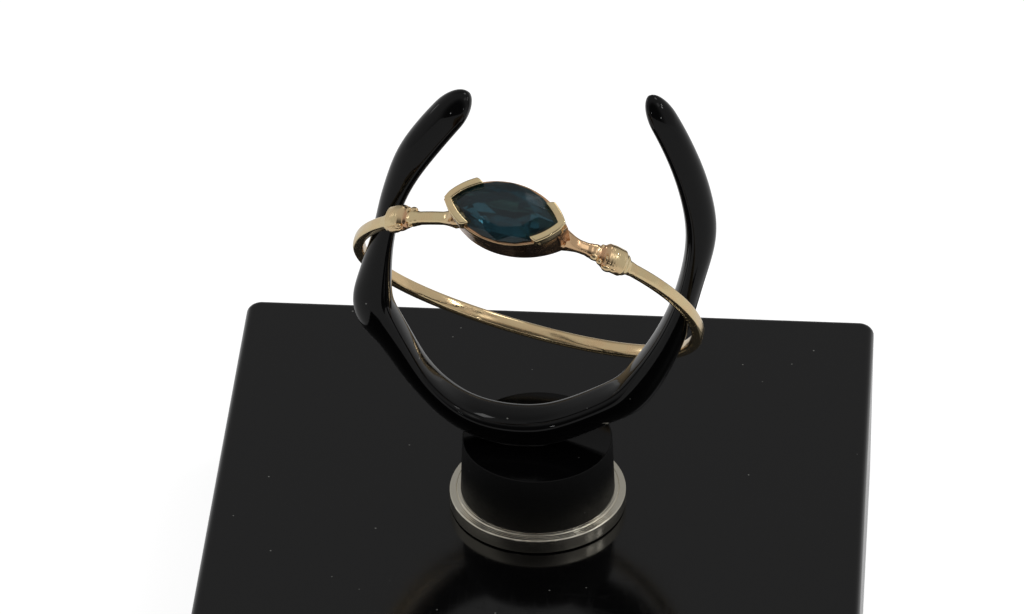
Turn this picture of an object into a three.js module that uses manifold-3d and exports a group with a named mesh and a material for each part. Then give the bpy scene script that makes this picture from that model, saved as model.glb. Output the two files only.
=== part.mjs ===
import * as THREE from 'three';
import { mergeVertices } from 'three/addons/utils/BufferGeometryUtils.js';
import Module from 'manifold-3d';

// A marquise stacking ring of yellow gold, hung on its crescent stand.
// Millimetres, +Z up, +X to the viewer's right, origin under the middle of the base block.

// The stand's base, post and collar
const baseWidth = 35;
const baseHeight = 10;
const baseCornerRadius = 1.3;
const baseEdgeRadius = 0.5;
const postFootRadius = 4.15;
const postTopRadius = 4.0;
const postHeight = 4.2;
const postRim = 0.12;
const collarWidth = 0.52;
const collarOuterHeight = 0.75;
const collarInnerHeight = 0.95;

// The crescent that holds the ring
const barThickness = 1.6;
const barDepth = 2.1;
const barRoundShare = 0.67;
const barRoundPower = 0.92;
const barFlatPower = 0.5;
const saddleDepth = 0.35;
const tipRounding = 1.7;
const tipStart = 0.35;

// The ring's band
const fingerRadius = 8.88;
const bandThickness = 0.6;
const bandFrontWidth = 0.64;
const bandBackWidth = 0.76;
const bandPower = 0.8;
const bandWarp = 0.21;
const warpAngle = 14;

// The two knots on the band, either side of the head, and the shoulders beside the setting
const leftKnotAngle = -41.2;
const rightKnotAngle = 34.4;
const knotLength = 1.5;
const knotWidth = 1.45;
const knotRise = 0.36;
const shoulderLength = 0.75;
const shoulderRise = 0.75;
const shoulderInset = 0.3;

// The stone and its setting
const stoneLength = 5.9;
const stoneWidth = 3.15;
const crownHeight = 0.42;
const girdleThickness = 0.12;
const pavilionDepth = 1.35;
const girdleHeight = 2.03;
const tableShare = 0.6;
const crownMiddle = 0.83;
const crownHeightShare = 0.55;
const pavilionMiddle = 0.52;
const pavilionBreak = 0.62;
const keelShare = 0.16;
const settingWall = 0.27;
const railHeight = 0.34;
const railMargin = 0.08;
const hullMargin = 0.02;
const hullTaper = 0.12;
const wallTopBevel = 0.05;
const galleryInset = 0.35;
const prongOverlap = 0.17;
const prongRise = 0.34;
const prongReach = 2.1;
const prongBevel = 0.06;

// How the ring hangs: the line between its two seats falls to the right by the lean,
// its front stands up by the pitch, and the head is turned to the left by the spin
const ringLean = 19.9;
const ringPitch = 39.0;
const ringSpin = -19.2;
const ringShift = -0.35;

// Clearances
const seatGap = 0.15;
const stoneGap = 0.05;
const standGap = 0.05;
const weldDistance = 1e-5;

// How finely the curved surfaces are divided
const bandSides = 16;
const bandStep = 3;
const knotSteps = 18;
const barSides = 20;
const barSteps = 76;
const tipSteps = 6;
const roundSides = 72;
const boreSides = 144;
const arcSteps = 7;
const marquiseSteps = 16;
const stoneSteps = 8;

const degrees = THREE.MathUtils.degToRad;
const bandRadius = fingerRadius + bandThickness;
const seatRadius = fingerRadius - seatGap;
const seatX = Math.cos(degrees(ringLean));
const seatZ = Math.sin(degrees(ringLean));

// The crescent's outer outline from the left tip round to the right one, in shares of the seat
// radius from the ring's middle, with the bar's thickness and depth there as shares of its sizes.
// The two seats lie on the ring's leaning line, one seat radius out.
const crescentStations = [
  { x: -0.425, z: 1.440, thick: 1.08, depth: 0.90 },
  { x: -0.645, z: 1.165, thick: 1.16, depth: 0.96 },
  { x: -0.775, z: 0.950, thick: 1.08, depth: 1.00 },
  { x: -0.870, z: 0.660, thick: 0.80, depth: 0.95 },
  { x: -seatX, z: seatZ, thick: 0.74, depth: 0.92 },
  { x: -1.010, z: 0.105, thick: 1.05, depth: 0.98 },
  { x: -1.065, z: -0.125, thick: 1.30, depth: 1.04 },
  { x: -1.035, z: -0.285, thick: 1.28, depth: 1.04 },
  { x: -0.920, z: -0.435, thick: 0.96, depth: 1.02 },
  { x: -0.720, z: -0.755, thick: 0.74, depth: 1.02 },
  { x: -0.495, z: -1.015, thick: 0.90, depth: 1.10 },
  { x: -0.290, z: -1.130, thick: 1.10, depth: 1.16 },
  { x: -0.065, z: -1.170, thick: 1.15, depth: 1.18 },
  { x: 0.120, z: -1.155, thick: 1.15, depth: 1.18 },
  { x: 0.275, z: -1.095, thick: 1.12, depth: 1.14 },
  { x: 0.515, z: -0.965, thick: 1.14, depth: 1.08 },
  { x: 0.665, z: -0.880, thick: 1.20, depth: 1.04 },
  { x: 0.790, z: -0.705, thick: 1.20, depth: 1.00 },
  { x: seatX, z: -seatZ, thick: 0.94, depth: 0.92 },
  { x: 1.040, z: 0.040, thick: 0.81, depth: 0.92 },
  { x: 1.120, z: 0.435, thick: 0.98, depth: 0.95 },
  { x: 1.075, z: 0.765, thick: 0.98, depth: 0.95 },
  { x: 0.955, z: 1.105, thick: 0.92, depth: 0.88 },
  { x: 0.790, z: 1.435, thick: 0.88, depth: 0.78 },
];
const crescentDrop = -Math.min(...crescentStations.map((station) => station.z));

const ringCentre = new THREE.Vector3(
  ringShift,
  0,
  baseHeight + standGap + postHeight - saddleDepth + seatRadius * crescentDrop,
);

// One knot along the band, from its shank side to its side towards the head: places as shares of
// the knot's length, then how much of the knot's extra width and of its rise is reached there
const knotProfile = [
  { along: -1.00, width: 0.00, rise: 0.00 },
  { along: -0.72, width: 0.12, rise: 0.10 },
  { along: -0.50, width: 0.55, rise: 0.50 },
  { along: -0.28, width: 0.94, rise: 0.92 },
  { along: 0.00, width: 1.00, rise: 1.00 },
  { along: 0.26, width: 0.90, rise: 0.86 },
  { along: 0.42, width: 0.50, rise: 0.38 },
  { along: 0.52, width: 0.42, rise: 0.30 },
  { along: 0.66, width: 0.62, rise: 0.44 },
  { along: 0.80, width: 0.46, rise: 0.30 },
  { along: 1.00, width: 0.00, rise: 0.00 },
];

const wasm = await Module();
wasm.setup();

// A geometry with its shared corners merged and only their positions kept
function weld(geometry) {
  const bare = geometry.clone();
  bare.deleteAttribute('normal');
  bare.deleteAttribute('uv');
  return mergeVertices(bare, weldDistance);
}

function toSolid(geometry) {
  const { attributes, index } = weld(geometry);
  return new wasm.Manifold(new wasm.Mesh({
    numProp: 3,
    vertProperties: Float32Array.from(attributes.position.array),
    triVerts: Uint32Array.from(index.array),
  }));
}

function toGeometry(solid) {
  const { vertProperties, triVerts } = solid.getMesh();
  const geometry = new THREE.BufferGeometry();
  geometry.setAttribute('position', new THREE.BufferAttribute(vertProperties, 3));
  geometry.setIndex(new THREE.BufferAttribute(triVerts, 1));
  return geometry;
}

// A surface from corner points and triangles, turned so that its faces point out
function surface(points, triangles) {
  const volume = triangles.reduce((sum, [a, b, c]) => (
    sum + points[a].dot(points[b].clone().cross(points[c]))), 0);
  const faces = volume < 0 ? triangles.map(([a, b, c]) => [a, c, b]) : triangles;
  const geometry = new THREE.BufferGeometry().setFromPoints(points);
  geometry.setIndex(faces.flat());
  return geometry;
}

// A skin over loops that all have the same number of points. The last loop joins the first one,
// or else each end is closed by a fan round its middle.
function loft(loops, joined = false) {
  const sides = loops[0].length;
  const points = loops.flat();
  const triangles = [];
  const corner = (row, side) => (row % loops.length) * sides + (side % sides);
  for (let row = 0; row < loops.length - (joined ? 0 : 1); row += 1) {
    for (let side = 0; side < sides; side += 1) {
      triangles.push([corner(row, side), corner(row, side + 1), corner(row + 1, side + 1)]);
      triangles.push([corner(row, side), corner(row + 1, side + 1), corner(row + 1, side)]);
    }
  }
  if (!joined) {
    [[0, true], [loops.length - 1, false]].forEach(([row, first]) => {
      const middle = points.length;
      points.push(loops[row].reduce((sum, point) => sum.add(point), new THREE.Vector3()).divideScalar(sides));
      for (let side = 0; side < sides; side += 1) {
        const edge = [corner(row, side), corner(row, side + 1)];
        triangles.push(first ? [middle, edge[1], edge[0]] : [middle, edge[0], edge[1]]);
      }
    });
  }
  return surface(points, triangles);
}

// A coordinate of a rounded box section: a power below 1 squares the circle off
const squared = (value, power) => Math.sign(value) * Math.abs(value) ** power;

// The value of a table's column at a place, eased between its rows
function readTable(rows, place, column, at) {
  const next = rows.findIndex((row) => row[at] > place);
  if (next <= 0) return 0;
  const [from, to] = [rows[next - 1], rows[next]];
  const share = THREE.MathUtils.smoothstep(place, from[at], to[at]);
  return THREE.MathUtils.lerp(from[column], to[column], share);
}

// How far the sprung band stands off its plane, at an angle from the head
const bandOffset = (angle) => bandWarp * Math.cos(2 * degrees(angle - warpAngle));

// The band and its knots: a rounded section carried round the finger
function makeBand() {
  const knots = [
    { angle: leftKnotAngle, towardsHead: 1 },
    { angle: rightKnotAngle, towardsHead: -1 },
  ];
  const knotHalfAngle = THREE.MathUtils.radToDeg(knotLength / bandRadius);
  const shoulderPlace = stoneLength / 2 + settingWall - shoulderInset;
  const shoulderAngle = THREE.MathUtils.radToDeg(Math.asin(shoulderPlace / bandRadius));

  const angles = [];
  for (let angle = -180; angle < 180; angle += bandStep) {
    const nearKnot = knots.some((knot) => Math.abs(angle - knot.angle) < knotHalfAngle + bandStep / 3);
    if (!nearKnot) angles.push(angle);
  }
  knots.forEach((knot) => {
    for (let step = -knotSteps; step <= knotSteps; step += 1) {
      angles.push(knot.angle + (knotHalfAngle * step) / knotSteps);
    }
  });
  for (let step = 0; step <= arcSteps; step += 1) {
    const along = THREE.MathUtils.radToDeg((shoulderLength * step) / arcSteps / bandRadius);
    angles.push(shoulderAngle + along, -shoulderAngle - along);
  }
  angles.sort((a, b) => a - b);

  const loops = angles.map((angle) => {
    const towardsBack = (1 - Math.cos(degrees(angle))) / 2;
    let width = THREE.MathUtils.lerp(bandFrontWidth, bandBackWidth, towardsBack);
    let rise = 0;
    knots.forEach((knot) => {
      const along = (degrees(angle - knot.angle) * bandRadius * knot.towardsHead) / knotLength;
      width += (knotWidth - bandFrontWidth) * readTable(knotProfile, along, 'width', 'along');
      rise += knotRise * readTable(knotProfile, along, 'rise', 'along');
    });
    const past = (degrees(Math.abs(angle) - shoulderAngle) * bandRadius) / shoulderLength;
    if (Math.abs(past) < 1) rise += shoulderRise * (1 - Math.abs(past)) ** 2;

    const turn = degrees(angle - 90);
    const loop = [];
    for (let side = 0; side < bandSides; side += 1) {
      const around = (2 * Math.PI * side) / bandSides;
      const out = (squared(Math.sin(around), bandPower) + 1) / 2;
      const radius = fingerRadius + (bandThickness + rise) * out;
      const across = bandOffset(angle) + (width / 2) * squared(Math.cos(around), bandPower);
      loop.push(new THREE.Vector3(radius * Math.cos(turn), radius * Math.sin(turn), across));
    }
    return loop;
  });
  return loft(loops, true);
}

// The marquise outline: two equal arcs that meet in a point at each end of the long axis.
// It starts at the +X point and runs anticlockwise.
function marquise(halfLength, halfWidth, z, steps = marquiseSteps) {
  const arcRadius = (halfLength ** 2 + halfWidth ** 2) / (2 * halfWidth);
  const opening = Math.asin(halfLength / arcRadius);
  const points = [];
  [1, -1].forEach((sign) => {
    for (let step = 0; step < steps; step += 1) {
      const angle = opening * (1 - (2 * step) / steps);
      const x = arcRadius * Math.sin(angle);
      const y = arcRadius * Math.cos(angle) - (arcRadius - halfWidth);
      points.push(new THREE.Vector3(sign * x, sign * y, z));
    }
  });
  return points;
}

// The same outline moved out by an even margin, whose points move further than its sides
const tipStretch = 1 / Math.sin(2 * Math.atan(stoneWidth / stoneLength));
const stoneOutline = (margin, z, steps) => (
  marquise(stoneLength / 2 + margin * tipStretch, stoneWidth / 2 + margin, z, steps));

// The cut stone, its girdle at the height of zero. A margin makes the space that it sits in.
function makeStone(margin = 0) {
  const top = girdleThickness / 2 + crownHeight + margin;
  const bottom = -girdleThickness / 2 - pavilionDepth - margin;
  const shrink = (points, share, z) => points.map(({ x, y }) => new THREE.Vector3(x * share, y * share, z));

  const upperGirdle = stoneOutline(margin, girdleThickness / 2, stoneSteps);
  const lowerGirdle = stoneOutline(margin, -girdleThickness / 2, stoneSteps);
  const corners = upperGirdle.filter((point, index) => index % 2 === 0);
  const between = upperGirdle.filter((point, index) => index % 2 === 1);
  const table = shrink(corners, tableShare, top);
  const crown = shrink(between, crownMiddle, THREE.MathUtils.lerp(girdleThickness / 2, top, crownHeightShare));
  const pavilion = shrink(between, pavilionMiddle, THREE.MathUtils.lerp(-girdleThickness / 2, bottom, pavilionBreak));
  const keel = [-1, 1].map((side) => new THREE.Vector3(side * keelShare * (stoneLength / 2), 0, bottom));

  const groups = [upperGirdle, lowerGirdle, table, crown, pavilion, keel];
  const starts = groups.map((group, index) => (
    groups.slice(0, index).reduce((sum, earlier) => sum + earlier.length, 0)));
  const [upperStart, lowerStart, tableStart, crownStart, pavilionStart, keelStart] = starts;
  const count = corners.length;
  const triangles = [];
  for (let i = 0; i < count; i += 1) {
    const j = (i + 1) % count;
    const [g0, g1, g2] = [2 * i, 2 * i + 1, 2 * j];
    if (i > 0 && i < count - 1) triangles.push([tableStart, tableStart + i, tableStart + j]);
    triangles.push([tableStart + i, crownStart + i, tableStart + j]);
    triangles.push([tableStart + j, crownStart + i, upperStart + g2]);
    triangles.push([tableStart + i, upperStart + g0, crownStart + i]);
    triangles.push([crownStart + i, upperStart + g0, upperStart + g1]);
    triangles.push([crownStart + i, upperStart + g1, upperStart + g2]);
    [[g0, g1], [g1, g2]].forEach(([a, b]) => {
      triangles.push([upperStart + a, lowerStart + a, lowerStart + b]);
      triangles.push([upperStart + a, lowerStart + b, upperStart + b]);
      triangles.push([pavilionStart + i, lowerStart + b, lowerStart + a]);
    });
    const nearKeel = (point) => keelStart + (point.x < 0 ? 0 : 1);
    const ownKeel = nearKeel(between[i]);
    const cornerKeel = Math.abs(corners[j].x) < weldDistance ? nearKeel(between[j]) : nearKeel(corners[j]);
    triangles.push([pavilionStart + i, pavilionStart + j, lowerStart + g2]);
    triangles.push([pavilionStart + i, cornerKeel, pavilionStart + j]);
    if (ownKeel !== cornerKeel) triangles.push([pavilionStart + i, ownKeel, cornerKeel]);
  }
  return surface(groups.flat(), triangles);
}

// A strip that folds over one point of the stone, as a V of two curved arms
function makeProng() {
  const halfLength = stoneLength / 2;
  const halfWidth = stoneWidth / 2;
  const arcRadius = (halfLength ** 2 + halfWidth ** 2) / (2 * halfWidth);
  const arcMiddle = arcRadius - halfWidth;
  const meeting = (radius) => Math.acos(arcMiddle / radius);
  const arm = (radius, from, to) => {
    const points = [];
    for (let step = 0; step <= arcSteps; step += 1) {
      const angle = THREE.MathUtils.lerp(from, to, step / arcSteps);
      points.push(new THREE.Vector2(radius * Math.sin(angle), radius * Math.cos(angle) - arcMiddle));
    }
    return points;
  };
  const outer = arcRadius + settingWall - prongBevel;
  const inner = arcRadius - prongOverlap + prongBevel;
  const reach = meeting(outer) - (prongReach - prongBevel) / outer;
  const upper = [...arm(outer, meeting(outer), reach), ...arm(inner, reach, meeting(inner))];
  const lower = upper.slice(1, -1).reverse().map(({ x, y }) => new THREE.Vector2(x, -y));
  const depth = girdleThickness + prongRise + stoneGap + railHeight - 2 * prongBevel;
  const geometry = new THREE.ExtrudeGeometry(new THREE.Shape([...upper, ...lower]), {
    depth,
    bevelThickness: prongBevel,
    bevelSize: prongBevel,
    bevelSegments: 2,
  });
  geometry.translate(0, 0, girdleThickness / 2 + prongRise - prongBevel - depth);
  return geometry;
}

// The boat-shaped wall under the stone: a rail just under the girdle, which its sides are flush
// with, and a plainer wall below that goes down to the finger. Its two ends reach out to the
// folds of the prongs.
function makeBoat() {
  const end = stoneLength / 2 + settingWall;
  const foot = -(girdleHeight + bandRadius - Math.sqrt(fingerRadius ** 2 - end ** 2));
  const top = -girdleThickness / 2 - stoneGap;
  const levels = [
    { z: foot, wide: hullMargin - hullTaper, long: settingWall - hullTaper },
    { z: top - railHeight - wallTopBevel, wide: hullMargin, long: settingWall },
    { z: top - railHeight, wide: railMargin, long: settingWall },
    { z: top - wallTopBevel, wide: railMargin, long: settingWall },
    { z: top, wide: railMargin - wallTopBevel, long: settingWall - wallTopBevel },
  ];
  return loft(levels.map(({ z, wide, long }) => (
    marquise(stoneLength / 2 + long * tipStretch, stoneWidth / 2 + wide, z))));
}

// The frame of the head inside the ring: its origin at the stone's girdle, +Z out of the band
const headFrame = new THREE.Matrix4()
  .makeTranslation(0, -(bandRadius + girdleHeight), bandOffset(0))
  .multiply(new THREE.Matrix4().makeRotationX(Math.PI / 2));

// Band, knots, wall and prongs are soldered, so they are one solid. The wall is open under the
// stone, right through to the finger.
const galleryReach = 2 * (girdleHeight + bandThickness);
const boreLength = 4 * stoneWidth;

function makeGoldRing() {
  const onHead = (geometry) => toSolid(geometry.applyMatrix4(headFrame));
  const finger = new THREE.CylinderGeometry(fingerRadius, fingerRadius, boreLength, boreSides);
  finger.rotateX(Math.PI / 2);
  const openGallery = loft([-galleryReach, girdleThickness].map((z) => stoneOutline(-galleryInset, z)));
  const boat = onHead(makeBoat()).subtract(toSolid(finger));
  const leftProng = onHead(makeProng().rotateZ(Math.PI));
  const rightProng = onHead(makeProng());
  const metal = toSolid(makeBand()).add(boat).add(leftProng).add(rightProng);
  return toGeometry(metal.subtract(onHead(openGallery)).subtract(onHead(makeStone(stoneGap))));
}

// The crescent: a D-shaped section, flat inside and round outside, carried along its outline
function makeCrescent(margin = 0) {
  const place = ({ x, z }) => new THREE.Vector3(x, 0, z).multiplyScalar(seatRadius).add(ringCentre);
  const outline = new THREE.CatmullRomCurve3(crescentStations.map(place));
  const sizes = new THREE.CatmullRomCurve3(
    crescentStations.map(({ thick, depth }) => new THREE.Vector3(thick, depth, 0)), false, 'catmullrom');
  const length = outline.getLength();

  // Places along the outline, closer together where the tips are rounded
  const distances = [];
  for (let step = 0; step < tipSteps; step += 1) {
    const along = tipRounding * (1 - Math.cos((Math.PI / 2) * ((step + tipStart) / tipSteps)));
    distances.push(along, length - along);
  }
  for (let step = 0; step <= barSteps; step += 1) {
    distances.push(THREE.MathUtils.lerp(tipRounding, length - tipRounding, step / barSteps));
  }
  distances.sort((a, b) => a - b);

  const loops = distances.map((distance) => {
    const share = outline.getUtoTmapping(distance / length);
    const edge = outline.getPoint(share);
    const along = outline.getTangent(share);
    const inward = new THREE.Vector3(-along.z, 0, along.x);
    const size = sizes.getPoint(share);
    const thick = barThickness * size.x;
    const depth = barDepth * size.y;
    const toEnd = Math.min(distance, length - distance) / tipRounding;
    const rounding = toEnd < 1 ? Math.sqrt(1 - (1 - toEnd) ** 2) : 1;
    const loop = [];
    for (let side = 0; side < barSides; side += 1) {
      const around = (2 * Math.PI * side) / barSides;
      const out = Math.cos(around);
      const power = out > 0 ? barRoundPower : barFlatPower;
      const reach = thick * (out > 0 ? barRoundShare : 1 - barRoundShare);
      const fromMiddle = (thick * (barRoundShare - 0.5) - reach * squared(out, power)) * rounding;
      const grown = fromMiddle + margin * Math.sign(-out || 1) * Math.abs(out);
      const across = ((depth / 2) * rounding) * squared(Math.sin(around), power);
      const point = edge.clone().addScaledVector(inward, thick / 2 + grown);
      point.y += across + margin * Math.sin(around);
      loop.push(point);
    }
    return loop;
  });
  return loft(loops);
}

// A round piece from its profile of radius and height
const turned = (profile) => new THREE.LatheGeometry(
  profile.map(([radius, height]) => new THREE.Vector2(radius, height)), roundSides).rotateX(Math.PI / 2);

// The post, with a shallow saddle cut across its top for the crescent
function makePost() {
  const round = turned([
    [0, 0],
    [postFootRadius, 0],
    [postTopRadius, postHeight - postRim],
    [postTopRadius - postRim, postHeight],
    [0, postHeight],
  ]).translate(0, 0, baseHeight + standGap);
  return toGeometry(toSolid(round).subtract(toSolid(makeCrescent(standGap))));
}

function makeCollar() {
  const bore = postFootRadius + standGap;
  const bevel = collarWidth / 8;
  return turned([
    [bore, 0],
    [bore + collarWidth - bevel, 0],
    [bore + collarWidth, bevel],
    [bore + collarWidth, collarOuterHeight - bevel],
    [bore + collarWidth - bevel, collarOuterHeight],
    [bore + bevel, collarInnerHeight],
    [bore, collarInnerHeight - bevel],
    [bore, 0],
  ]).translate(0, 0, baseHeight + standGap);
}

function makeBase() {
  const half = baseWidth / 2 - baseEdgeRadius;
  const turn = baseCornerRadius - baseEdgeRadius;
  const shape = new THREE.Shape();
  shape.absarc(half - turn, turn - half, turn, -Math.PI / 2, 0);
  shape.absarc(half - turn, half - turn, turn, 0, Math.PI / 2);
  shape.absarc(turn - half, half - turn, turn, Math.PI / 2, Math.PI);
  shape.absarc(turn - half, turn - half, turn, Math.PI, 1.5 * Math.PI);
  return new THREE.ExtrudeGeometry(shape, {
    depth: baseHeight - 2 * baseEdgeRadius,
    bevelThickness: baseEdgeRadius,
    bevelSize: baseEdgeRadius,
    bevelSegments: 4,
    curveSegments: arcSteps,
  }).translate(0, 0, baseEdgeRadius);
}

function named(name, geometry, color, roughness, metalness) {
  const mesh = new THREE.Mesh(geometry, new THREE.MeshStandardMaterial({ color, roughness, metalness }));
  mesh.name = name;
  return mesh;
}

const gloss = ['#121214', 0.08, 0];
const stand = new THREE.Group();
stand.add(named('base_block', makeBase(), ...gloss));
stand.add(named('holder_post', makePost(), ...gloss));
stand.add(named('collar', makeCollar(), '#cfc7a8', 0.28, 1));
stand.add(named('crescent_holder', toGeometry(toSolid(makeCrescent())), ...gloss));

const ring = new THREE.Group();
ring.position.copy(ringCentre);
ring.rotation.set(degrees(ringPitch - 90), degrees(ringLean), degrees(ringSpin), 'YXZ');
ring.add(named('gold_ring', makeGoldRing(), '#d8bd7c', 0.18, 1));
ring.add(named('marquise_stone', makeStone().applyMatrix4(headFrame), '#10303f', 0.03, 0));

const model = new THREE.Group();
model.add(stand, ring);

export default model;
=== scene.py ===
# %% [markdown]
# # A marquise stacking ring on its crescent stand
#
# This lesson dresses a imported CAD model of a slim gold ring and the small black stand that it
# hangs on. Every shape here is a surface worked out with numpy, in the same place and at the same
# size as the CAD solid that it stands for. The materials are made of shader nodes alone.

import bmesh
import bpy
import numpy as np
from mathutils import Matrix, Vector


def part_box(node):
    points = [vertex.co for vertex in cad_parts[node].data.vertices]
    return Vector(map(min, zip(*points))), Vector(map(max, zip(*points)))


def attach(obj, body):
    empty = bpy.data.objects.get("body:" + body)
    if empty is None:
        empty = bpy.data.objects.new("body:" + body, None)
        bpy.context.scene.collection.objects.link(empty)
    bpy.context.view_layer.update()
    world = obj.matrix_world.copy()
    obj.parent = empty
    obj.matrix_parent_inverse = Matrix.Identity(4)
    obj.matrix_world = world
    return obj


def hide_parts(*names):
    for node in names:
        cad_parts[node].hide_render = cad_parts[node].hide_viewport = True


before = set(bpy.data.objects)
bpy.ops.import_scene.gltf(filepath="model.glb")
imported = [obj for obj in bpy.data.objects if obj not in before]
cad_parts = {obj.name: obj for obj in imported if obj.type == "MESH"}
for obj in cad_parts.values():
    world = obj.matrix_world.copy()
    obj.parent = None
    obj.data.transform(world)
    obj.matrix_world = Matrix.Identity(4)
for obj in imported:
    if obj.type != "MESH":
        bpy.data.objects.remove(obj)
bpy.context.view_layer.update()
print("CAD nodes:", sorted(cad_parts))

# %% [markdown]
# ## Millimetres, grids and closed skins
#
# Jewellery is drawn in millimetres and Blender's scene is in metres, so every surface is worked
# out in millimetres and scaled once, where its mesh is made. Nearly every piece here is a tube of
# some kind: a loop of points is carried along a path, and the loops lie under each other as the
# rows of a grid. One function can therefore join any such grid with four-sided faces.

# %% Faces on a grid of loops
MM = 0.001


def grid_faces(rows, sides, joined):
    """Quads between neighbours on a grid whose rows are closed loops: each quad takes a point, the
    next point round its loop, and the same two on the next row. Joined grids wrap at the end."""
    row = np.arange(rows if joined else rows - 1)[:, None]
    side = np.arange(sides)[None, :]
    next_row, next_side = (row + 1) % rows, (side + 1) % sides
    corners = [row * sides + side, row * sides + next_side,
               next_row * sides + next_side, next_row * sides + side]
    return np.stack(corners, axis=-1).reshape(-1, 4)


def cap_faces(middle, first_corner, sides, forward):
    """A fan of triangles from a middle point to each edge of a loop."""
    side = np.arange(sides)
    edges = [first_corner + side, first_corner + (side + 1) % sides]
    if not forward:
        edges.reverse()
    return np.stack([np.full(sides, middle), *edges], axis=-1)


def skin_parts(rows, joined=False, start=0):
    """The points and faces of the skin over a grid of loops, its two ends fanned shut unless it is
    joined. The faces number their points from the start value."""
    count, sides, _ = rows.shape
    points, faces = rows.reshape(-1, 3), [grid_faces(count, sides, joined)]
    if not joined:
        points = np.vstack([points, rows[[0, -1]].mean(axis=1)])
        faces.append(cap_faces(count * sides, 0, sides, forward=False))
        faces.append(cap_faces(count * sides + 1, (count - 1) * sides, sides, forward=True))
    return points, [part + start for part in faces]


# %% A closed skin as a piece
def add_object(name, data):
    """An object that holds the data, at the origin of the scene."""
    made = bpy.data.objects.new(name, data)
    bpy.context.scene.collection.objects.link(made)
    return made


def make_mesh(name, points, faces, sharp=None):
    """A mesh from points in millimetres and lists of faces. Its faces point out: where the volume
    that they enclose comes out negative, all of them are turned over."""
    mesh = bpy.data.meshes.new(name)
    mesh.from_pydata((points * MM).tolist(), [], [face for part in faces for face in part.tolist()])
    shell = bmesh.new()
    shell.from_mesh(mesh)
    volume = shell.calc_volume(signed=True) / MM ** 3
    shell.free()
    if volume < 0:
        mesh.flip_normals()
    mesh.shade_smooth()
    if sharp is not None:
        mesh.set_sharp_from_angle(angle=np.radians(sharp))
    mesh.update()
    return mesh, abs(volume)


def make_skin(name, rows, joined=False, sharp=None):
    """A piece that is one skin over a grid of loops."""
    mesh, volume = make_mesh(name, *skin_parts(rows, joined), sharp)
    print(f"{name}: {len(mesh.polygons)} faces, {volume:.2f} cubic mm")
    return add_object(name, mesh)


# %% [markdown]
# A finished piece has to say two things: which body it moves with, and which CAD node it stands for,
# whose own mesh is then hidden. A small function says both, and gives the piece its material.

# %% Place a finished piece
def place(piece, material, node):
    """The piece rides on the one body, and stands for a CAD node with a finish of its own."""
    piece.data.materials.append(material)
    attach(piece, "root")
    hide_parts(node)


def mark(piece, name, values):
    """Stores one number for each point of the grid, which a material can read by its name."""
    column = piece.data.attributes.new(name, "FLOAT", "POINT")
    padded = np.zeros(len(piece.data.vertices), np.float32)
    padded[:values.size] = values.ravel()
    column.data.foreach_set("value", padded)


# %% [markdown]
# ## A few curves that the pieces share
#
# A power applied to a sine or cosine squares a circle off, which gives every section from a round
# wire to a bar with soft corners. A rounded rectangle has true flats and true arcs instead. The
# marquise is the outline of the stone: two equal arcs that meet in a point at each end.

# %% Sections
def squared(value, power):
    """The value's size to a power, with its own sign: below 1 the circle becomes a soft square."""
    return np.sign(value) * np.abs(value) ** power


def rounded_rectangle(width, height, radius, steps=6):
    """Four quarter circles, each about a centre one radius in from its corner."""
    turn = np.linspace(0, np.pi / 2, steps)
    angle = np.array([0, 1, 2, 3])[:, None] * np.pi / 2 + turn[None, :]
    side_x = np.array([1, -1, -1, 1])[:, None] * (width / 2 - radius)
    side_y = np.array([1, 1, -1, -1])[:, None] * (height / 2 - radius)
    return np.stack([side_x + radius * np.cos(angle),
                     side_y + radius * np.sin(angle)], axis=-1).reshape(-1, 2)


def read_table(rows, place_at):
    """The columns of a table at many places, eased between its rows by 3t^2 - 2t^3."""
    at, values = rows[:, 0], rows[:, 1:]
    inside = (place_at > at[0]) & (place_at < at[-1])
    row = np.clip(np.searchsorted(at, place_at, side="right") - 1, 0, len(at) - 2)
    share = np.clip((place_at - at[row]) / (at[row + 1] - at[row]), 0, 1)
    eased = (share * share * (3 - 2 * share))[..., None]
    return (values[row] * (1 - eased) + values[row + 1] * eased) * inside[..., None]


# %% [markdown]
# ## The stand's black block
#
# The real base is a thick square of black acrylic, cut, and polished along its edges. A cube with
# a bevel would do, but its corners in plan have a larger radius than its top edge. So it is a
# stack of rounded squares: the stack shrinks along a quarter circle at the bottom and at the top.

# %% Black block
base_low, base_high = (np.array(corner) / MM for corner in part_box("base_block"))
base_width, base_height = base_high[0] - base_low[0], base_high[2] - base_low[2]
base_corner, base_edge, base_flat, smallest_corner = 0.85, 0.45, 0.04, 0.2


def base_rows():
    """Rounded squares, whose inset and height follow a quarter circle at each end. One more square
    just inside each round keeps the flats' shading flat."""
    turn = np.linspace(0, np.pi / 2, 9)
    inset = base_edge * (1 - np.sin(turn))
    height = base_edge * (1 - np.cos(turn))
    flat = [base_width / 4, base_edge + base_flat]
    insets = np.concatenate([flat, inset, inset[::-1], flat[::-1]])
    heights = np.concatenate([[0, 0], height, base_height - height[::-1], [base_height, base_height]])
    rows = []
    for inward, level in zip(insets, heights):
        corner = max(base_corner - min(inward, base_edge), smallest_corner)
        square = rounded_rectangle(base_width - 2 * inward, base_width - 2 * inward, corner, 12)
        rows.append(np.column_stack([square, np.full(len(square), level)]))
    return np.array(rows)


block = make_skin("black_block", base_rows(), sharp=40)

# %% [markdown]
# ## The crescent that holds the ring
#
# It was bent from a cast bar: round on its outside, flatter on its inside, and not quite even. A
# Bezier curve with a bevel could carry the section, but only with the same shape all along. Here
# a table gives the outer edge, with the bar's thickness and depth at each station, as shares of
# the radius at which the ring's two seats lie. A curve through the stations makes it smooth.

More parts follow.
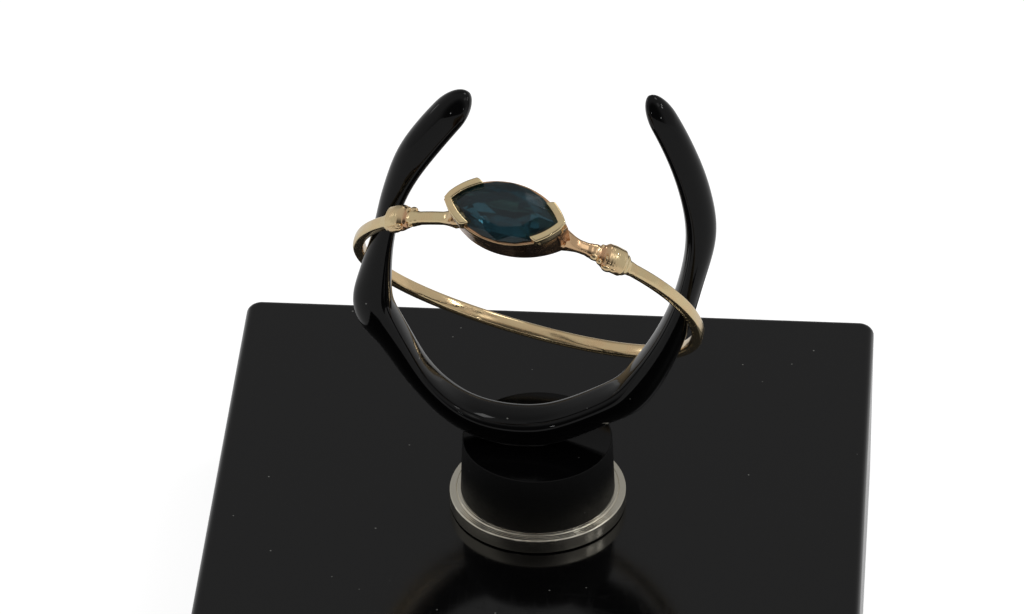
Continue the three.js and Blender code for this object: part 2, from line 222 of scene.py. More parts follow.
# %% Stations of the crescent
finger_radius, seat_gap = 8.88, 0.15
seat_radius = finger_radius - seat_gap
ring_lean = np.radians(19.9)
seat_x, seat_z = np.cos(ring_lean), np.sin(ring_lean)

# Across, up, thickness and depth, from the left tip round to the right one
crescent_stations = np.array([
    [-0.425, 1.440, 1.08, 0.90],
    [-0.645, 1.165, 1.16, 0.96],
    [-0.775, 0.950, 1.08, 1.00],
    [-0.870, 0.660, 0.80, 0.95],
    [-seat_x, seat_z, 0.74, 0.92],
    [-1.010, 0.105, 1.05, 0.98],
    [-1.065, -0.125, 1.30, 1.04],
    [-1.035, -0.285, 1.32, 1.04],
    [-0.920, -0.435, 1.10, 1.02],
    [-0.720, -0.755, 0.82, 1.02],
    [-0.495, -1.015, 0.98, 1.06],
    [-0.290, -1.130, 1.14, 1.08],
    [-0.065, -1.170, 1.20, 1.08],
    [0.120, -1.155, 1.20, 1.08],
    [0.275, -1.095, 1.16, 1.08],
    [0.515, -0.965, 1.14, 1.08],
    [0.665, -0.880, 1.20, 1.04],
    [0.790, -0.705, 1.20, 1.00],
    [seat_x, -seat_z, 0.94, 0.92],
    [1.040, 0.040, 0.81, 0.92],
    [1.120, 0.435, 0.98, 0.95],
    [1.075, 0.765, 0.98, 0.95],
    [0.955, 1.105, 0.92, 0.88],
    [0.790, 1.435, 0.88, 0.78],
])


def smooth_path(stations, knot_gaps, steps):
    """A Catmull-Rom curve: between two stations a cubic runs with a slope at each that comes from
    its neighbours, weighed by the gaps between them. Each span gets the same number of steps."""
    ends = [2 * stations[:1] - stations[1:2], stations, 2 * stations[-1:] - stations[-2:-1]]
    p0, p1, p2, p3 = (np.vstack(ends)[i:len(stations) + i - 1] for i in range(4))
    gap = np.concatenate([knot_gaps[:1], knot_gaps, knot_gaps[-1:]])[:, None]
    g0, g1, g2 = gap[:-2], gap[1:-1], gap[2:]
    slope1 = ((p1 - p0) / g0 - (p2 - p0) / (g0 + g1) + (p2 - p1) / g1) * g1
    slope2 = ((p2 - p1) / g1 - (p3 - p1) / (g1 + g2) + (p3 - p2) / g2) * g1
    t = np.linspace(0, 1, steps, endpoint=False)[None, :, None]
    p1, p2, slope1, slope2 = (part[:, None, :] for part in (p1, p2, slope1, slope2))
    spans = ((2 * t ** 3 - 3 * t ** 2 + 1) * p1 + (t ** 3 - 2 * t ** 2 + t) * slope1
             + (3 * t ** 2 - 2 * t ** 3) * p2 + (t ** 3 - t ** 2) * slope2)
    return np.vstack([spans.reshape(-1, stations.shape[1]), stations[-1:]])


# %% Edges of the crescent
bar_thickness, bar_depth = 1.6, 2.1
outer_softness, inner_softness, edge_spacing, span_steps = 0.4, 1.05, 0.05, 60


def softened(columns, spread):
    """Evenly spaced columns, each averaged with its neighbours under a bell curve of the given
    spread. Past its ends a column is carried on straight."""
    reach = int(3 * spread / edge_spacing)
    weights = np.exp(-0.5 * (np.arange(-reach, reach + 1) * edge_spacing / spread) ** 2)
    weights /= weights.sum()
    before = 2 * columns[0] - columns[reach:0:-1]
    after = 2 * columns[-1] - columns[-2:-reach - 2:-1]
    longer = np.vstack([before, columns, after])
    return np.stack([np.convolve(column, weights, mode="valid") for column in longer.T], axis=-1)


def crescent_edges():
    """The outer edge in even steps, the shares of thickness and depth there, and the inner edge: it
    lies one thickness in, and is softened more, so that it has no fold where the bar bends."""
    stations = crescent_stations[:, :2] * seat_radius
    gaps = np.sqrt(np.linalg.norm(np.diff(stations, axis=0), axis=1))
    rough = np.hstack([smooth_path(stations, gaps, span_steps),
                       smooth_path(crescent_stations[:, 2:], np.ones(len(gaps)), span_steps)])
    walked = np.concatenate([[0], np.cumsum(np.linalg.norm(np.diff(rough[:, :2], axis=0), axis=1))])
    even = np.arange(0, walked[-1], edge_spacing)
    fine = softened(np.stack([np.interp(even, walked, part) for part in rough.T], axis=-1),
                    outer_softness)
    outer, shares = fine[:, :2], fine[:, 2:]
    slope = np.gradient(outer, axis=0)
    slope /= np.linalg.norm(slope, axis=1, keepdims=True)
    inward = np.stack([-slope[:, 1], slope[:, 0]], axis=-1)
    return outer, shares, softened(outer + inward * bar_thickness * shares[:, :1], inner_softness)


outer_edge, bar_sizes, inner_edge = crescent_edges()
edge_drop = -outer_edge[:, 1].min()
ring_shift = -0.35
crescent_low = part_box("crescent_holder")[0].z / MM
ring_centre = np.array([ring_shift, 0, crescent_low + edge_drop])
print("middle of the ring:", ring_centre.round(3))

# %% Crescent
bar_round_share, bar_round_power = 0.67, 0.96
arm_inner_power, foot_inner_power = 0.95, 0.72
# From the ring's middle: where the arms' section ends, and where the foot's is reached
arm_height, foot_height = -0.1 * seat_radius, -0.9 * seat_radius
tip_rounding, tip_start = 1.7, 0.03
bar_steps, tip_steps, bar_sides = 420, 26, 72


def crescent_rows():
    """A loop at each place, from the outer edge to the inner one: soft and round on the outside,
    flatter on the inside. The steps crowd together at the tips, where the loops close in a round."""
    walked = np.arange(len(outer_edge)) * edge_spacing
    tip = tip_rounding * (1 - np.cos(np.linspace(tip_start, np.pi / 2, tip_steps, endpoint=False)))
    middle = np.linspace(tip_rounding, walked[-1] - tip_rounding, bar_steps)
    places = np.concatenate([tip, middle, walked[-1] - tip[::-1]])
    outer, inner, sizes = (np.stack([np.interp(places, walked, part) for part in table.T], axis=-1)
                           for table in (outer_edge, inner_edge, bar_sizes))
    to_end = np.minimum(places, walked[-1] - places) / tip_rounding
    closing = np.sqrt(1 - np.clip(1 - to_end, 0, 1) ** 2)[:, None]

    around = np.linspace(0, 2 * np.pi, bar_sides, endpoint=False)
    outward = np.cos(around) > 0
    inner_power = np.interp(outer[:, 1], [foot_height, arm_height], [foot_inner_power, arm_inner_power])
    power = np.where(outward, bar_round_power, inner_power[:, None])
    reach = np.where(outward, bar_round_share, 1 - bar_round_share)
    inset = 0.5 + closing * (bar_round_share - 0.5 - reach * squared(np.cos(around), power))
    across = bar_depth / 2 * sizes[:, 1:] * closing * squared(np.sin(around), power)
    flat = outer[:, None, :] + (inner - outer)[:, None, :] * inset[..., None]
    return np.stack([flat[..., 0], across, flat[..., 1]], axis=-1) + ring_centre


crescent = make_skin("crescent", crescent_rows())

# %% [markdown]
# ## Post and collar
#
# Both are turned parts, so each is a profile of radius and height carried round the upright axis.
# The post's top is let in under the crescent: along the bar the top face sinks to just below the
# bar's underside. A boolean could cut that, but lowering a fine polar grid leaves cleaner faces.

# %% Turned profiles
def turned_rows(radius, height, sides=192):
    """Each profile point becomes a circle at its height."""
    around = np.linspace(0, 2 * np.pi, sides, endpoint=False)
    return np.stack([radius[:, None] * np.cos(around), radius[:, None] * np.sin(around),
                     np.broadcast_to(height[:, None], (len(height), sides))], axis=-1)


def quarter(centre, radius, start, steps=7):
    """A quarter circle of profile points about a centre, anticlockwise from a start angle."""
    turn = np.radians(start) + np.linspace(0, np.pi / 2, steps)
    return np.stack([centre[0] + radius * np.cos(turn), centre[1] + radius * np.sin(turn)], axis=-1)


under_reach = 0.75 * seat_radius


def bar_underside(x, y):
    """The height of the bar's underside above a place on the post: the outer edge there, plus the
    rise of its round half, whose height follows the D section's own powers."""
    bottom = (np.abs(outer_edge[:, 0]) < under_reach) & (outer_edge[:, 1] < 0)
    edge_x, edge_z = outer_edge[bottom, 0] + ring_shift, outer_edge[bottom, 1] + ring_centre[2]
    thick = bar_thickness * bar_round_share * np.interp(x, edge_x, bar_sizes[bottom, 0])
    half = bar_depth / 2 * np.interp(x, edge_x, bar_sizes[bottom, 1])
    share = np.clip(np.abs(y) / half, 0, 1) ** (2 / bar_round_power)
    return np.interp(x, edge_x, edge_z) + thick * (1 - (1 - share) ** (bar_round_power / 2))


# %% Post
post_low, post_high = (np.array(corner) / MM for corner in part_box("holder_post"))
post_foot, post_top, post_rim, stand_gap, post_dish, post_matt = 4.15, 4.0, 0.03, 0.05, 0.2, 0.5
post_core, post_rings = 0.05, 60


def post_rows():
    """A slightly tapering side, a crisp rim, and a top of rings that shrink to the middle. The top
    is a shallow dish, and dips to the bar's underside wherever that is lower still."""
    rim = quarter((post_top - post_rim, post_high[2] - post_rim), post_rim, 0)
    inner = np.linspace(post_top - post_rim, post_core, post_rings)[1:]
    dished = post_high[2] - post_dish * (1 - (inner / post_top) ** 2)
    foot = np.array([[post_core, post_low[2]], [post_foot - post_rim, post_low[2]],
                     [post_foot, post_low[2] + post_rim]])
    radius = np.concatenate([foot[:, 0], rim[:, 0], inner])
    height = np.concatenate([foot[:, 1], rim[:, 1], dished])
    rows = turned_rows(radius, height)
    under = bar_underside(rows[..., 0], rows[..., 1]) - stand_gap
    rows[len(foot):, :, 2] = np.minimum(rows[len(foot):, :, 2], under[len(foot):])
    side = np.zeros(rows.shape[:2])
    side[:len(foot) + len(rim)] = 1
    return rows, side


post_grid, post_side = post_rows()
post = make_skin("post", post_grid, sharp=50)
mark(post, "matt", post_side * post_matt)

# %% Collar
collar_low, collar_high = (np.array(corner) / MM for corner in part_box("collar"))
collar_outer = (collar_high[0] - collar_low[0]) / 2
collar_bore, collar_outer_height, collar_edge = post_foot - post_rim, 0.83, 0.07
groove_share, groove_half, groove_depth = 0.42, 0.025, 0.03


def collar_rows():
    """A flat foot, an upright outer wall with arcs for edges, and a top that climbs inwards to the
    bore, with one fine groove turned into it."""
    outer_top = collar_low[2] + collar_outer_height
    low = quarter((collar_outer - collar_edge, collar_low[2] + collar_edge), collar_edge, 270)
    high = quarter((collar_outer - collar_edge, outer_top - collar_edge), collar_edge, 0)
    bore = np.array([collar_bore, collar_high[2]])
    climb = (high[-1] - bore) / np.linalg.norm(high[-1] - bore)
    middle = bore + groove_share * (high[-1] - bore)
    groove = [middle + climb * groove_half, middle - (0, groove_depth), middle - climb * groove_half]
    foot = np.array([[collar_bore, collar_low[2]]])
    profile = np.vstack([foot, low, high, groove, bore[None, :], foot])
    return turned_rows(profile[:-1, 0], profile[:-1, 1], 256)


collar = make_skin("collar_ring", collar_rows(), joined=True, sharp=30)

# %% [markdown]
# ## The ring's own frame
#
# The ring lies over both arms of the crescent. It is easiest to build flat, with its axis along Z
# and its head towards -Y, and to turn into place at the end: first it spins about its own axis,
# then its front tips up, and then the whole leans to the right. The head has a frame of its own
# again, with the stone's long axis along X and Z pointing out of the band.

# %% Frames of the ring and of its head
band_thickness, band_front, band_back, band_power = 0.6, 0.64, 0.76, 0.62
band_warp, warp_angle = 0.21, np.radians(14)
girdle_height = 2.03
ring_pitch, ring_spin = np.radians(39.0), np.radians(-19.2)
band_radius = finger_radius + band_thickness

ring_turn = (Matrix.Rotation(ring_lean, 4, "Y") @ Matrix.Rotation(ring_pitch - np.pi / 2, 4, "X")
             @ Matrix.Rotation(ring_spin, 4, "Z"))
ring_frame = np.array(Matrix.Translation(Vector(ring_centre)) @ ring_turn)


def band_offset(angle):
    """How far the sprung band stands off its plane: a saddle, two waves round the ring."""
    return band_warp * np.cos(2 * (angle - warp_angle))


head_frame = np.array(Matrix.Translation((0, -(band_radius + girdle_height), band_offset(0)))
                      @ Matrix.Rotation(np.pi / 2, 4, "X"))


def moved(points, *frames):
    """Points carried from the innermost frame out through each of the frames given."""
    for matrix in frames:
        points = points @ matrix[:3, :3].T + matrix[:3, 3]
    return points


# %% [markdown]
# ## The band and its knots
#
# The real band is a cast wire, flat inside and crisp along its outer edges. Either side of the
# head it swells into a knot, as if thread were wound round it. The winding is low relief, so the
# band is one closed sweep: a table gives how far the knot's width and rise have grown at each
# place, and a small ripple on top of the rise makes the turns of thread.

# %% Profile of one knot
left_knot, right_knot = np.radians(-41.2), np.radians(34.4)
knot_length, knot_width, knot_rise = 1.5, 1.42, 0.40
stone_length, stone_width, setting_wall = 5.9, 3.15, 0.27
shoulder_length, shoulder_rise, shoulder_flare, shoulder_inset = 0.9, 0.42, 0.4, 0.3

# Place along the knot towards the head, then its share of the extra width and of the rise
knot_profile = np.array([
    [-1.00, 0.00, 0.00],
    [-0.74, 0.10, 0.08],
    [-0.50, 0.62, 0.55],
    [-0.34, 0.96, 0.93],
    [0.00, 1.00, 1.00],
    [0.24, 0.94, 0.90],
    [0.40, 0.55, 0.42],
    [0.52, 0.22, 0.16],
    [0.66, 0.26, 0.20],
    [0.84, 0.12, 0.10],
    [1.00, 0.00, 0.00],
])

# %% Band
band_steps, band_sides = 1440, 64
shoulder_angle = np.arcsin((stone_length / 2 + setting_wall - shoulder_inset) / band_radius)
thread_spacing, thread_ripple, knot_power = 0.15, 0.003, 0.88
fine_from, fine_to = -0.95, 0.85

# Each is a bell: its middle and spread along the knot, then the same round the section
thread_patch = (0.12, 0.2), (1.9, 0.6)
warm_side = (0.1, 0.5), (3.1, 0.5)
# Strength, middle and spread of the rings of painted shade, a darker copper, round a knot
warm_rings = [(1.0, 0.47, 0.08), (0.3, 0.3, 0.12)]
# Strengths of the painted shade on one side of a knot, on the shoulders and on the inner face
warm_side_strength, warm_shoulder, warm_inside = 0.6, 0.5, 0.2
# Strength, middle and spread of the painted shade on the stretch of band between the head and the right
# knot
warm_neck = 0.7, 0.44, 0.12


def band_angles():
    """Angles from the head: even steps, with extra ones over the stretch that carries detail."""
    even = np.linspace(-np.pi, np.pi, band_steps // 2, endpoint=False)
    front = np.linspace(fine_from, fine_to, band_steps // 2)
    return np.unique(np.concatenate([even, front]))


def bell(value, middle, spread):
    """A bump that is one at its middle and dies away on both sides."""
    return np.exp(-((value - middle) / spread) ** 2)


def band_rows():
    """A soft rectangle carried round the finger. Its inner face keeps to the finger's radius, and the
    outer face rises over knots and shoulders. A patch of fine ribs crosses each knot. Each point also
    gets a share of painted shade: rings round the knots, one side of each knot, the shoulders, a
    stretch of the neck and the inner face."""
    angle = band_angles()
    around = np.linspace(0, 2 * np.pi, band_sides, endpoint=False)[None, :]
    width = band_front + (band_back - band_front) * (1 - np.cos(angle)) / 2
    rise, power = np.zeros_like(angle), np.full_like(angle, band_power)
    ribs, shade_share = np.zeros((len(angle), band_sides)), np.zeros((len(angle), band_sides))
    for knot, towards_head in ((left_knot, 1), (right_knot, -1)):
        along = (angle - knot) * band_radius * towards_head / knot_length
        grown = read_table(knot_profile, along)
        width += (knot_width - band_front) * grown[:, 0]
        rise += knot_rise * grown[:, 1]
        power += (knot_power - band_power) * grown[:, 1]
        along = along[:, None]
        patch = bell(along, *thread_patch[0]) * bell(around, *thread_patch[1])
        ribs += thread_ripple * patch * np.cos(2 * np.pi * along * knot_length / thread_spacing)
        # Painted shade: darker copper in rings round each knot and along one side of it
        shade_share += sum(strength * bell(along, *ring) for strength, *ring in warm_rings)
        shade_share += warm_side_strength * bell(along, *warm_side[0]) * bell(around, *warm_side[1])
    past = np.clip(np.abs((np.abs(angle) - shoulder_angle) * band_radius / shoulder_length), 0, 1)
    rise += shoulder_rise * (1 - past) ** 2
    width += shoulder_flare * (1 - past) ** 1.5
    # Painted shade on the shoulders and on the neck beside the right knot
    shade_share += (warm_shoulder * (1 - past) + warm_neck[0] * bell(angle, *warm_neck[1:]))[:, None]

    power = power[:, None]
    out = (squared(np.sin(around), power) + 1) / 2
    radius = finger_radius + (band_thickness + rise[:, None]) * out + ribs
    across = (band_offset(angle)[:, None]
              + (width[:, None] / 2 + ribs) * squared(np.cos(around), power))
    turn = (angle - np.pi / 2)[:, None]
    rows = np.stack([radius * np.cos(turn), radius * np.sin(turn), across], axis=-1)
    # Painted shade on the inner face, which turns to the finger
    painted_shade = np.clip(shade_share + warm_inside * np.clip(-np.sin(around), 0, 1), 0, 1)
    return moved(rows, ring_frame), painted_shade


band_grid, band_painted_shade = band_rows()
band = make_skin("gold_band", band_grid, joined=True, sharp=50)
mark(band, "painted_shade", band_painted_shade)

# %% [markdown]
# Beside each knot the casting shows small lumps, where the wound thread ends: a lobe towards the
# head, a lip on the lower side and a tiny bead. They could be sculpted, but they are simple
# enough to be ellipsoids that sink into the band. Each table row gives the place and the size.

# %% Lumps beside the knots
# Along towards the head, across (up is positive), out from the finger, then the three half sizes
left_lumps = np.array([
    [1.02, 0.36, 0.50, 0.27, 0.20, 0.17],
    [0.72, 0.34, 0.58, 0.16, 0.22, 0.14],
    [0.10, -0.66, 0.62, 0.46, 0.19, 0.26],
    [0.42, -0.56, 0.72, 0.22, 0.16, 0.16],
    [-0.25, -0.58, 0.66, 0.28, 0.14, 0.18],
    [0.95, -0.42, 0.40, 0.13, 0.12, 0.13],
])
right_lumps = np.array([
    [1.02, -0.28, 0.52, 0.24, 0.21, 0.19],
    [0.72, -0.44, 0.58, 0.17, 0.17, 0.18],
    [0.70, 0.30, 0.50, 0.15, 0.22, 0.15],
    [0.26, -0.64, 0.60, 0.30, 0.18, 0.24],
    [-0.10, -0.60, 0.62, 0.26, 0.16, 0.22],
    [0.42, -0.20, 0.80, 0.14, 0.20, 0.10],
])


lump_painted_shade, lump_pole, lump_rings, lump_sides = 0.25, 0.06, 14, 28


def lump_rows(knot, towards_head, lump):
    """An ellipsoid on the band: the ring's radial, tangent and axis directions carry its sizes."""
    along, across, out, long, wide, tall = lump
    angle = knot + along * towards_head / band_radius
    turn = angle - np.pi / 2
    radial = np.array([np.cos(turn), np.sin(turn), 0])
    tangent = np.array([-np.sin(turn), np.cos(turn), 0])
    centre = radial * (finger_radius + out) + (0, 0, band_offset(angle) + across)
    polar = np.linspace(lump_pole, np.pi - lump_pole, lump_rings)[:, None, None]
    around = np.linspace(0, 2 * np.pi, lump_sides, endpoint=False)[None, :, None]
    return (centre + radial * tall * np.cos(polar) + tangent * long * np.sin(polar) * np.cos(around)
            + np.array([0, 0, wide]) * np.sin(polar) * np.sin(around))


def make_lumps(name, knot, towards_head, table):
    """All the lumps of one knot as one mesh, which is a set of closed skins."""
    points, faces, start = [], [], 0
    for lump in table:
        skin, skin_faces = skin_parts(lump_rows(knot, towards_head, lump), start=start)
        points.append(skin)
        faces += skin_faces
        start += len(skin)
    mesh, volume = make_mesh(name, moved(np.vstack(points), ring_frame), faces)
    piece = add_object(name, mesh)
    # Painted shade: the lumps are a little darker copper all over
    mark(piece, "painted_shade", np.full(len(mesh.vertices), lump_painted_shade))
    print(f"{name}: {len(table)} lumps, {volume:.2f} cubic mm")
    return piece


lumps = [make_lumps("left_knot_lumps", left_knot, 1, left_lumps),
         make_lumps("right_knot_lumps", right_knot, -1, right_lumps)]

# %% [markdown]
# ## The marquise outline and the boat-shaped setting
#
# A jeweller makes this setting from a strip bent to the stone's outline, with a thin rail under
# the girdle. The outline is two arcs of the same radius. Moving an arc out by a margin only
# changes its radius, so the setting, its rail and the prongs all follow from the stone.

# %% Arcs of the marquise
arc_radius = ((stone_length / 2) ** 2 + (stone_width / 2) ** 2) / stone_width
arc_middle = arc_radius - stone_width / 2
tip_stretch = 1 / np.sin(2 * np.arctan(stone_width / stone_length))


def marquise(long, wide, steps):
    """Two arcs through the points at half the length and half the width, anticlockwise from +X."""
    half_length, half_width = stone_length / 2 + long * tip_stretch, stone_width / 2 + wide
    radius = (half_length ** 2 + half_width ** 2) / (2 * half_width)
    opening = np.arcsin(half_length / radius)
    angle = opening * (1 - 2 * np.arange(steps) / steps)
    x, y = radius * np.sin(angle), radius * np.cos(angle) - (radius - half_width)
    return np.concatenate([np.stack([x, y], axis=-1), np.stack([-x, -y], axis=-1)])


# %% Setting
girdle_thickness, stone_gap, rail_height, rail_margin = 0.12, 0.05, 0.34, 0.08
hull_margin, hull_taper, wall_bevel, gallery_inset, rail_lean = 0.02, 0.12, 0.05, 0.35, 0.02
outline_steps = 64


def setting_rows():
    """Marquise outlines stacked as a closed wall: up the outside from the finger to the rail, over
    its rounded lip, and down inside. The foot's height follows the finger's own curve."""
    top = -girdle_thickness / 2 - stone_gap
    lip = quarter((0, 0), 1, 0, 6)
    outside = [[hull_margin - hull_taper, setting_wall - hull_taper, None],
               [hull_margin, setting_wall, top - rail_height - 2 * wall_bevel],
               [rail_margin - rail_lean, setting_wall, top - rail_height - wall_bevel],
               [rail_margin, setting_wall, top - rail_height]]
    for out, up in lip:
        outside.append([rail_margin - wall_bevel * (1 - out), setting_wall - wall_bevel * (1 - out),
                        top - wall_bevel * (1 - up)])
    inside = [[-gallery_inset + wall_bevel, -gallery_inset + wall_bevel, top],
              [-gallery_inset, -gallery_inset, top - wall_bevel],
              [-gallery_inset, -gallery_inset, None]]
    rows = []
    for wide, long, level in outside + inside:
        outline = marquise(long, wide, outline_steps)
        foot = np.sqrt(finger_radius ** 2 - outline[:, 0] ** 2) - girdle_height - band_radius
        rows.append(np.column_stack([outline, foot if level is None else np.full(len(outline), level)]))
    return moved(np.array(rows), head_frame, ring_frame)


setting_grid = setting_rows()
setting = make_skin("setting_wall", setting_grid, joined=True, sharp=30)

# Painted shade: the darkest, warmest copper low on the outside and all down the inside, less so at the
# rail and its lip
rail_painted_shade, lip_painted_shade, hull_rows, rail_rows, inside_rows = 0.6, 0.45, 2, 2, 3
setting_painted_shade = np.ones(setting_grid.shape[:2])
lip_rows = len(setting_painted_shade) - hull_rows - rail_rows - inside_rows
setting_painted_shade[hull_rows:][:rail_rows] = rail_painted_shade
setting_painted_shade[hull_rows + rail_rows:][:lip_rows] = np.linspace(lip_painted_shade, 1, lip_rows)[:, None]
mark(setting, "painted_shade", setting_painted_shade)

# %% [markdown]
# ## The two V prongs
#
# Each point of the stone is held by a strip folded over it. The strip's section is a rounded
# rectangle that stands between two margins from the stone's edge. Because each margin is an arc
# with its own radius, the two arms meet in a true mitre at the point.

# %% Prongs
prong_overlap, prong_rise, prong_reach, prong_bevel = 0.13, 0.34, 2.1, 0.09
corner_ease, corner_spread = 0.25, 0.14
prong_top = girdle_thickness / 2 + prong_rise
prong_depth = girdle_thickness + prong_rise + stone_gap + rail_height


def prong_arm(reach, steps=40):
    """The section walks along one arm from its cut end to the mitre. Over the last bit of the arm
    a quarter circle of steps shrinks it, so that the cut end has a soft edge."""
    half = np.array([setting_wall + prong_overlap, prong_depth]) / 2
    middle = np.array([(setting_wall - prong_overlap) / 2, prong_top - prong_depth / 2])
    turn = np.linspace(0, np.pi / 2, 6, endpoint=False)
    soft_share = prong_bevel / reach
    walk = np.concatenate([1 - soft_share * (1 - np.cos(turn)), np.linspace(1 - soft_share, 0, steps)])
    inset = np.concatenate([prong_bevel * (1 - np.sin(turn)), np.zeros(steps)])
    section = rounded_rectangle(*(2 * half), prong_bevel)
    shape = middle + section * (1 - inset[:, None, None] / half)
    margin, height = shape[..., 0], shape[..., 1]
    eased = margin * (1 - corner_ease * bell(walk, 0, corner_spread))[:, None]
    margin = np.where(margin > 0, eased, margin)
    radius = arc_radius + margin
    angle = np.arccos(arc_middle / radius) - reach / (arc_radius + setting_wall) * walk[:, None]
    return np.stack([radius * np.sin(angle), radius * np.cos(angle) - arc_middle, height], axis=-1)


def prong_rows(side, first_share, second_share):
    """Two arms that meet in the mitre: the second is the first one's mirror image, walked back."""
    first = prong_arm(prong_reach * first_share)
    second = prong_arm(prong_reach * second_share)[-2::-1] * (1, -1, 1)
    return moved(np.concatenate([first, second]) * (side, side, 1), head_frame, ring_frame)


# Which end of the stone, and the shares of the full reach of its two arms
prong_table = {"left": (-1, 0.86, 0.98), "right": (1, 0.66, 0.88)}
prongs = [make_skin(f"prong_{name}", prong_rows(*row), sharp=35) for name, row in prong_table.items()]
for prong in prongs:
    mark(prong, "painted_shade", np.zeros(len(prong.data.vertices)))

# %% [markdown]
# ## The cut stone
#
# A marquise sapphire is polished in flat facets: a table, a crown whose facets zigzag round it, a
# thin girdle, and a deep pavilion that closes in a short keel. Light goes through it and comes
# back from the pavilion, so the facets are true flat faces, and the stone is a closed body.

# %% Stone
crown_height, pavilion_depth, table_share = 0.42, 1.35, 0.6
crown_middle, crown_height_share = 0.83, 0.55
pavilion_middle, pavilion_break, keel_share = 0.52, 0.62, 0.16


def stone_mesh(steps=8):
    """Rings of corners at six levels, joined by triangles. Every second corner of the girdle is a
    table corner shrunk out to it, and the ones between carry the crown's and pavilion's mains."""
    top, bottom = girdle_thickness / 2 + crown_height, -girdle_thickness / 2 - pavilion_depth
    outline = marquise(0, 0, steps)
    corners, between = outline[::2], outline[1::2]

    def ring(points, share, level):
        """The points at a share of their distance from the middle, all at one level."""
        return np.column_stack([points * share, np.full(len(points), level)])

    crown_level = girdle_thickness / 2 + crown_height_share * crown_height
    pavilion_level = -girdle_thickness / 2 - pavilion_break * pavilion_depth
    keel = np.array([[-1, 0, 0], [1, 0, 0]]) * keel_share * stone_length / 2 + (0, 0, bottom)
    rings = [ring(outline, 1, girdle_thickness / 2), ring(outline, 1, -girdle_thickness / 2),
             ring(corners, table_share, top), ring(between, crown_middle, crown_level),
             ring(between, pavilion_middle, pavilion_level), keel]
    upper, lower, table, crown, pavilion, ends = np.cumsum([0] + [len(r) for r in rings[:-1]])

    i = np.arange(steps)
    j = (i + 1) % steps
    g0, g1, g2 = 2 * i, 2 * i + 1, 2 * j
    end_of = ends + (between[:, 0] > 0)
    corner_end = np.where(np.abs(corners[j, 0]) < MM, end_of[j], ends + (corners[j, 0] > 0))
    crosses = end_of != corner_end
    triangles = [
        (table + i, crown + i, table + j), (table + j, crown + i, upper + g2),
        (table + i, upper + g0, crown + i), (crown + i, upper + g0, upper + g1),
        (crown + i, upper + g1, upper + g2), (pavilion + i, lower + g1, lower + g0),
        (pavilion + i, lower + g2, lower + g1), (pavilion + i, pavilion + j, lower + g2),
        (pavilion + i, corner_end, pavilion + j),
        ((pavilion + i)[crosses], end_of[crosses], corner_end[crosses]),
    ]
    quads = [(upper + a, lower + a, lower + b, upper + b) for a, b in ((g0, g1), (g1, g2))]
    faces = [np.stack(face, axis=-1) for face in triangles + quads]
    faces.append((table + i)[None, :])
    mesh, volume = make_mesh("marquise_sapphire", moved(np.vstack(rings), head_frame, ring_frame),
                             faces)
    mesh.shade_flat()
    print(f"stone: {len(mesh.polygons)} facets, {volume:.2f} cubic mm")
    return mesh


stone = add_object("marquise_sapphire", stone_mesh())

# %% [markdown]
# ## Shared shader effects
#
# Two effects turn up in more than one finish, so each is a node group with its own inputs: fine
# wear, which is a net of hairline scratches with a soft waviness under it, and dust, which is a
# scatter of bright specks. A group gives only masks and heights, and each material decides what
# they do there.

# %% Node helpers
def add_node(tree, kind, values=None, **settings):
    """A new node with its settings, and with the values of the inputs that are named or numbered."""
    made = tree.nodes.new(kind)
    for key, value in settings.items():
        setattr(made, key, value)
    for key, value in (values or {}).items():
        made.inputs[key].default_value = value
    return made


def new_group(name, inputs, outputs):
    """An empty shader group with float inputs that have defaults, and float or vector outputs."""
    tree = bpy.data.node_groups.new(name, "ShaderNodeTree")
    tree.interface.new_socket("Vector", in_out="INPUT", socket_type="NodeSocketVector")
    for label, default in inputs.items():
        socket = tree.interface.new_socket(label, in_out="INPUT", socket_type="NodeSocketFloat")
        socket.default_value = default
    for label in outputs:
        tree.interface.new_socket(label, in_out="OUTPUT", socket_type="NodeSocketFloat")
    return tree, tree.nodes.new("NodeGroupInput"), tree.nodes.new("NodeGroupOutput")


def scaled_vector(tree, source, factor):
    """The source vector times a number, which is a socket."""
    made = add_node(tree, "ShaderNodeVectorMath", operation="SCALE")
    tree.links.new(source, made.inputs[0])
    tree.links.new(factor, made.inputs["Scale"])
    return made.outputs["Vector"]


# %% Fine wear
# How each set of scratches is turned and stretched, and how close to a half its noise has to be
scratch_sets = [((0.3, 0.5, 0.9), (0.25, 4.0, 4.0)), ((0.8, -0.4, -0.6), (4.0, 0.3, 4.0))]
scratch_width = 0.012


